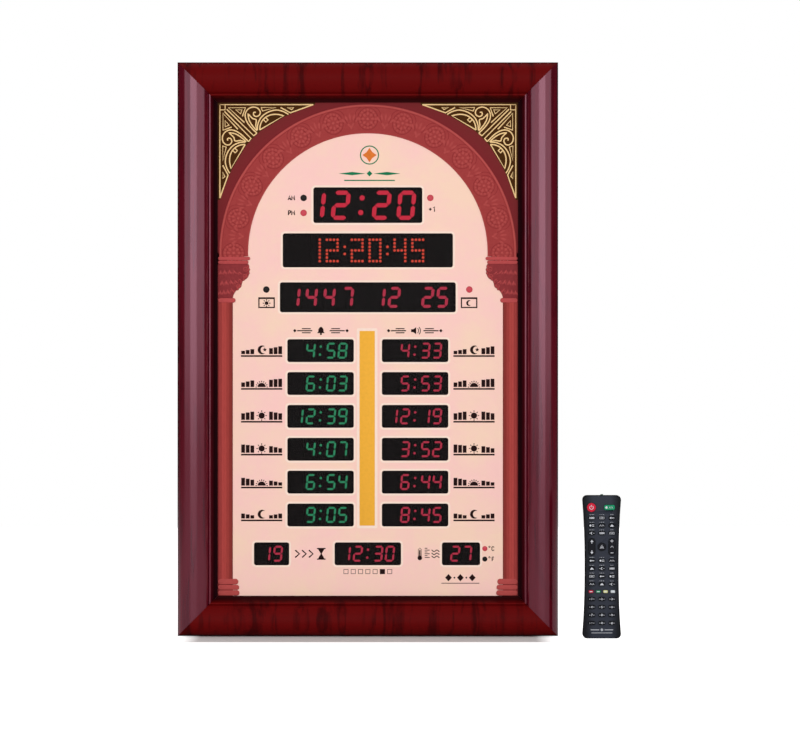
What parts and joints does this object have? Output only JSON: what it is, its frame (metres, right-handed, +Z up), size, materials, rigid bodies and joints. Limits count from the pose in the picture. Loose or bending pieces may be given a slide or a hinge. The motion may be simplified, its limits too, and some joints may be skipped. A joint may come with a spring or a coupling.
{
  "type": "prayer clock",
  "caption": "Framed wall clock with LED windows for the time, date, prayer times, countdown and temperature, and the infrared remote control that sets it.",
  "frame": {"origin": "middle of the frame's underside, halfway through its depth, on the surface that the clock stands on", "axes": "+X to the right seen from the front, +Y towards the wall, +Z up"},
  "size_m": [0.557, 0.0867, 0.724],
  "materials": {
    "mahogany_foil": "gloss",
    "printed_film": "satin",
    "smoked_acrylic": "gloss",
    "circuit_board": "satin",
    "rear_board": "matt",
    "speaker_paper": "matt",
    "jack_plastic": "satin",
    "remote_plastic": "satin",
    "key_rubber": "matt",
    "red_rubber": "matt",
    "green_rubber": "matt",
    "yellow_rubber": "matt",
    "white_rubber": "matt",
    "cell_sleeve": "satin"
  },
  "bodies": {
    "clock": {"frame_top_rail": "mahogany_foil", "frame_bottom_rail": "mahogany_foil", "frame_left_stile": "mahogany_foil", "frame_right_stile": "mahogany_foil", "printed_overlay": "printed_film", "smoked_window_sheet": "smoked_acrylic", "upper_display_board": "circuit_board", "prayer_display_board": "circuit_board", "footer_display_board": "circuit_board", "rear_cover": "rear_board", "speaker": "speaker_paper", "power_jack": "jack_plastic"},
    "remote": {"remote_upper_shell": "remote_plastic", "remote_lower_shell": "remote_plastic", "remote_circuit_board": "circuit_board", "remote_cell_1": "cell_sleeve", "remote_cell_2": "cell_sleeve"},
    "battery_cover": {"remote_battery_cover": "remote_plastic"},
    "key_power": {"remote_key_power": "red_rubber"},
    "key_mode": {"remote_key_mode": "green_rubber"},
    "rocker_up_down": {"remote_rocker_up_down": "key_rubber"},
    "key_centre": {"remote_key_centre": "key_rubber"},
    "rocker_plus_minus": {"remote_rocker_plus_minus": "key_rubber"},
    "key_function_1": {"remote_key_function_1": "key_rubber"},
    "key_function_2": {"remote_key_function_2": "key_rubber"},
    "key_function_3": {"remote_key_function_3": "key_rubber"},
    "key_function_4": {"remote_key_function_4": "key_rubber"},
    "key_function_5": {"remote_key_function_5": "key_rubber"},
    "key_function_6": {"remote_key_function_6": "key_rubber"},
    "key_function_7": {"remote_key_function_7": "key_rubber"},
    "key_function_8": {"remote_key_function_8": "key_rubber"},
    "key_function_9": {"remote_key_function_9": "key_rubber"},
    "key_setting_1": {"remote_key_setting_1": "key_rubber"},
    "key_setting_2": {"remote_key_setting_2": "key_rubber"},
    "key_setting_3": {"remote_key_setting_3": "key_rubber"},
    "key_setting_4": {"remote_key_setting_4": "key_rubber"},
    "key_setting_5": {"remote_key_setting_5": "key_rubber"},
    "key_setting_6": {"remote_key_setting_6": "key_rubber"},
    "key_setting_7": {"remote_key_setting_7": "key_rubber"},
    "key_setting_8": {"remote_key_setting_8": "key_rubber"},
    "key_setting_9": {"remote_key_setting_9": "key_rubber"},
    "key_setting_10": {"remote_key_setting_10": "key_rubber"},
    "key_setting_11": {"remote_key_setting_11": "key_rubber"},
    "key_setting_12": {"remote_key_setting_12": "key_rubber"},
    "key_number_1": {"remote_key_number_1": "key_rubber"},
    "key_number_2": {"remote_key_number_2": "key_rubber"},
    "key_number_3": {"remote_key_number_3": "key_rubber"},
    "key_number_4": {"remote_key_number_4": "key_rubber"},
    "key_number_5": {"remote_key_number_5": "key_rubber"},
    "key_number_6": {"remote_key_number_6": "key_rubber"},
    "key_number_7": {"remote_key_number_7": "key_rubber"},
    "key_number_8": {"remote_key_number_8": "key_rubber"},
    "key_number_9": {"remote_key_number_9": "key_rubber"},
    "key_number_10": {"remote_key_number_10": "key_rubber"},
    "key_number_11": {"remote_key_number_11": "key_rubber"},
    "key_number_12": {"remote_key_number_12": "key_rubber"},
    "key_red": {"remote_key_red": "red_rubber"},
    "key_green": {"remote_key_green": "green_rubber"},
    "key_yellow": {"remote_key_yellow": "yellow_rubber"},
    "key_white": {"remote_key_white": "white_rubber"}
  },
  "joints": [
    {"name": "remote_lift", "type": "slide", "parent": "clock", "child": "remote", "axis": [0, 0, 1], "range_m": [0, 0.2]},
    {"name": "battery_cover_tilt", "type": "hinge", "parent": "remote", "child": "battery_cover", "pos_m": [0.293, -0.03975, 0.02617], "axis": [-1, 0, 0], "range_deg": [0, 75]},
    {"name": "key_power_press", "type": "slide", "parent": "remote", "child": "key_power", "axis": [0, 1, 0], "range_m": [0, 0.001], "stiffness_N_per_m": 300, "springref_m": -0.0005},
    {"name": "key_mode_press", "type": "slide", "parent": "remote", "child": "key_mode", "axis": [0, 1, 0], "range_m": [0, 0.001], "stiffness_N_per_m": 300, "springref_m": -0.0005},
    {"name": "rocker_up_down_tilt", "type": "hinge", "parent": "remote", "child": "rocker_up_down", "pos_m": [0.28045, -0.05835, 0.1146], "axis": [1, 0, 0], "range_deg": [-4, 4], "stiffness_Nm_per_rad": 0.06},
    {"name": "key_centre_press", "type": "slide", "parent": "remote", "child": "key_centre", "axis": [0, 1, 0], "range_m": [0, 0.001], "stiffness_N_per_m": 300, "springref_m": -0.0005},
    {"name": "rocker_plus_minus_tilt", "type": "hinge", "parent": "remote", "child": "rocker_plus_minus", "pos_m": [0.30556, -0.05835, 0.1146], "axis": [1, 0, 0], "range_deg": [-4, 4], "stiffness_Nm_per_rad": 0.06},
    {"name": "key_function_1_press", "type": "slide", "parent": "remote", "child": "key_function_1", "axis": [0, 1, 0], "range_m": [0, 0.001], "stiffness_N_per_m": 300, "springref_m": -0.0005},
    {"name": "key_function_2_press", "type": "slide", "parent": "remote", "child": "key_function_2", "axis": [0, 1, 0], "range_m": [0, 0.001], "stiffness_N_per_m": 300, "springref_m": -0.0005},
    {"name": "key_function_3_press", "type": "slide", "parent": "remote", "child": "key_function_3", "axis": [0, 1, 0], "range_m": [0, 0.001], "stiffness_N_per_m": 300, "springref_m": -0.0005},
    {"name": "key_function_4_press", "type": "slide", "parent": "remote", "child": "key_function_4", "axis": [0, 1, 0], "range_m": [0, 0.001], "stiffness_N_per_m": 300, "springref_m": -0.0005},
    {"name": "key_function_5_press", "type": "slide", "parent": "remote", "child": "key_function_5", "axis": [0, 1, 0], "range_m": [0, 0.001], "stiffness_N_per_m": 300, "springref_m": -0.0005},
    {"name": "key_function_6_press", "type": "slide", "parent": "remote", "child": "key_function_6", "axis": [0, 1, 0], "range_m": [0, 0.001], "stiffness_N_per_m": 300, "springref_m": -0.0005},
    {"name": "key_function_7_press", "type": "slide", "parent": "remote", "child": "key_function_7", "axis": [0, 1, 0], "range_m": [0, 0.001], "stiffness_N_per_m": 300, "springref_m": -0.0005},
    {"name": "key_function_8_press", "type": "slide", "parent": "remote", "child": "key_function_8", "axis": [0, 1, 0], "range_m": [0, 0.001], "stiffness_N_per_m": 300, "springref_m": -0.0005},
    {"name": "key_function_9_press", "type": "slide", "parent": "remote", "child": "key_function_9", "axis": [0, 1, 0], "range_m": [0, 0.001], "stiffness_N_per_m": 300, "springref_m": -0.0005},
    {"name": "key_setting_1_press", "type": "slide", "parent": "remote", "child": "key_setting_1", "axis": [0, 1, 0], "range_m": [0, 0.001], "stiffness_N_per_m": 300, "springref_m": -0.0005},
    {"name": "key_setting_2_press", "type": "slide", "parent": "remote", "child": "key_setting_2", "axis": [0, 1, 0], "range_m": [0, 0.001], "stiffness_N_per_m": 300, "springref_m": -0.0005},
    {"name": "key_setting_3_press", "type": "slide", "parent": "remote", "child": "key_setting_3", "axis": [0, 1, 0], "range_m": [0, 0.001], "stiffness_N_per_m": 300, "springref_m": -0.0005},
    {"name": "key_setting_4_press", "type": "slide", "parent": "remote", "child": "key_setting_4", "axis": [0, 1, 0], "range_m": [0, 0.001], "stiffness_N_per_m": 300, "springref_m": -0.0005},
    {"name": "key_setting_5_press", "type": "slide", "parent": "remote", "child": "key_setting_5", "axis": [0, 1, 0], "range_m": [0, 0.001], "stiffness_N_per_m": 300, "springref_m": -0.0005},
    {"name": "key_setting_6_press", "type": "slide", "parent": "remote", "child": "key_setting_6", "axis": [0, 1, 0], "range_m": [0, 0.001], "stiffness_N_per_m": 300, "springref_m": -0.0005},
    {"name": "key_setting_7_press", "type": "slide", "parent": "remote", "child": "key_setting_7", "axis": [0, 1, 0], "range_m": [0, 0.001], "stiffness_N_per_m": 300, "springref_m": -0.0005},
    {"name": "key_setting_8_press", "type": "slide", "parent": "remote", "child": "key_setting_8", "axis": [0, 1, 0], "range_m": [0, 0.001], "stiffness_N_per_m": 300, "springref_m": -0.0005},
    {"name": "key_setting_9_press", "type": "slide", "parent": "remote", "child": "key_setting_9", "axis": [0, 1, 0], "range_m": [0, 0.001], "stiffness_N_per_m": 300, "springref_m": -0.0005},
    {"name": "key_setting_10_press", "type": "slide", "parent": "remote", "child": "key_setting_10", "axis": [0, 1, 0], "range_m": [0, 0.001], "stiffness_N_per_m": 300, "springref_m": -0.0005},
    {"name": "key_setting_11_press", "type": "slide", "parent": "remote", "child": "key_setting_11", "axis": [0, 1, 0], "range_m": [0, 0.001], "stiffness_N_per_m": 300, "springref_m": -0.0005},
    {"name": "key_setting_12_press", "type": "slide", "parent": "remote", "child": "key_setting_12", "axis": [0, 1, 0], "range_m": [0, 0.001], "stiffness_N_per_m": 300, "springref_m": -0.0005},
    {"name": "key_number_1_press", "type": "slide", "parent": "remote", "child": "key_number_1", "axis": [0, 1, 0], "range_m": [0, 0.001], "stiffness_N_per_m": 300, "springref_m": -0.0005},
    {"name": "key_number_2_press", "type": "slide", "parent": "remote", "child": "key_number_2", "axis": [0, 1, 0], "range_m": [0, 0.001], "stiffness_N_per_m": 300, "springref_m": -0.0005},
    {"name": "key_number_3_press", "type": "slide", "parent": "remote", "child": "key_number_3", "axis": [0, 1, 0], "range_m": [0, 0.001], "stiffness_N_per_m": 300, "springref_m": -0.0005},
    {"name": "key_number_4_press", "type": "slide", "parent": "remote", "child": "key_number_4", "axis": [0, 1, 0], "range_m": [0, 0.001], "stiffness_N_per_m": 300, "springref_m": -0.0005},
    {"name": "key_number_5_press", "type": "slide", "parent": "remote", "child": "key_number_5", "axis": [0, 1, 0], "range_m": [0, 0.001], "stiffness_N_per_m": 300, "springref_m": -0.0005},
    {"name": "key_number_6_press", "type": "slide", "parent": "remote", "child": "key_number_6", "axis": [0, 1, 0], "range_m": [0, 0.001], "stiffness_N_per_m": 300, "springref_m": -0.0005},
    {"name": "key_number_7_press", "type": "slide", "parent": "remote", "child": "key_number_7", "axis": [0, 1, 0], "range_m": [0, 0.001], "stiffness_N_per_m": 300, "springref_m": -0.0005},
    {"name": "key_number_8_press", "type": "slide", "parent": "remote", "child": "key_number_8", "axis": [0, 1, 0], "range_m": [0, 0.001], "stiffness_N_per_m": 300, "springref_m": -0.0005},
    {"name": "key_number_9_press", "type": "slide", "parent": "remote", "child": "key_number_9", "axis": [0, 1, 0], "range_m": [0, 0.001], "stiffness_N_per_m": 300, "springref_m": -0.0005},
    {"name": "key_number_10_press", "type": "slide", "parent": "remote", "child": "key_number_10", "axis": [0, 1, 0], "range_m": [0, 0.001], "stiffness_N_per_m": 300, "springref_m": -0.0005},
    {"name": "key_number_11_press", "type": "slide", "parent": "remote", "child": "key_number_11", "axis": [0, 1, 0], "range_m": [0, 0.001], "stiffness_N_per_m": 300, "springref_m": -0.0005},
    {"name": "key_number_12_press", "type": "slide", "parent": "remote", "child": "key_number_12", "axis": [0, 1, 0], "range_m": [0, 0.001], "stiffness_N_per_m": 300, "springref_m": -0.0005},
    {"name": "key_red_press", "type": "slide", "parent": "remote", "child": "key_red", "axis": [0, 1, 0], "range_m": [0, 0.001], "stiffness_N_per_m": 300, "springref_m": -0.0005},
    {"name": "key_green_press", "type": "slide", "parent": "remote", "child": "key_green", "axis": [0, 1, 0], "range_m": [0, 0.001], "stiffness_N_per_m": 300, "springref_m": -0.0005},
    {"name": "key_yellow_press", "type": "slide", "parent": "remote", "child": "key_yellow", "axis": [0, 1, 0], "range_m": [0, 0.001], "stiffness_N_per_m": 300, "springref_m": -0.0005},
    {"name": "key_white_press", "type": "slide", "parent": "remote", "child": "key_white", "axis": [0, 1, 0], "range_m": [0, 0.001], "stiffness_N_per_m": 300, "springref_m": -0.0005}
  ]
}
